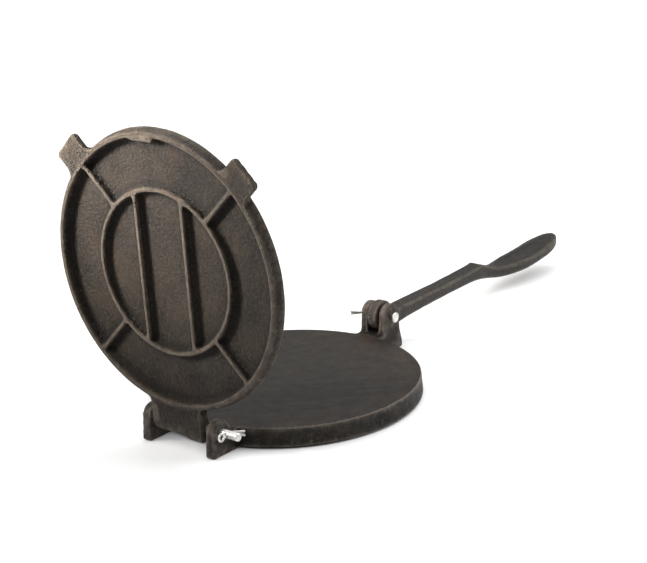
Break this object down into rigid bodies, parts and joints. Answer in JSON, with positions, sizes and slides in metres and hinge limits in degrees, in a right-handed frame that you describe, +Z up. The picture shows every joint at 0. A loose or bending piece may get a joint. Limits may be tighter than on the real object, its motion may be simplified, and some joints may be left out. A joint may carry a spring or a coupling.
{
  "type": "patty press",
  "caption": "Cast-iron hand press: round base plate, hinged ribbed lid with corner tabs, and a swing-over lever with a spoon-shaped grip, held by pins and split pins.",
  "frame": {"origin": "centre of the base plate's top (pressing) face", "axes": "+X from the lid hinge to the lever, in the plane of the pressing face; +Z up, out of the pressing face; +Y to the side with the hinge pin's head"},
  "size_m": [0.5149, 0.205, 0.2329],
  "materials": {
    "base_iron": "seasoned dark cast iron, fine machining lines on the pressing face, sand-cast grain elsewhere",
    "lid_iron": "seasoned cast iron with a sand-cast grain, paler where it catches the light",
    "lever_iron": "seasoned dark cast iron with a sand-cast grain",
    "zinc_pin": "bright zinc-plated steel"
  },
  "bodies": {
    "base": {"base_casting": "base_iron", "hinge_pin": "zinc_pin", "hinge_split_pin": "zinc_pin", "lever_pin": "zinc_pin", "lever_split_pin": "zinc_pin"},
    "lid": {"lid_casting": "lid_iron"},
    "lever": {"lever_casting": "lever_iron"}
  },
  "joints": [
    {"name": "lid_hinge", "type": "hinge", "parent": "base", "child": "lid", "pos_m": [-0.1133, 0, 0.0018], "axis": [0, -1, 0], "range_deg": [-92.1, 0]},
    {"name": "lever_pivot", "type": "hinge", "parent": "base", "child": "lever", "pos_m": [0.119, 0, 0.0126], "axis": [0, -1, 0], "range_deg": [0, 147]}
  ]
}
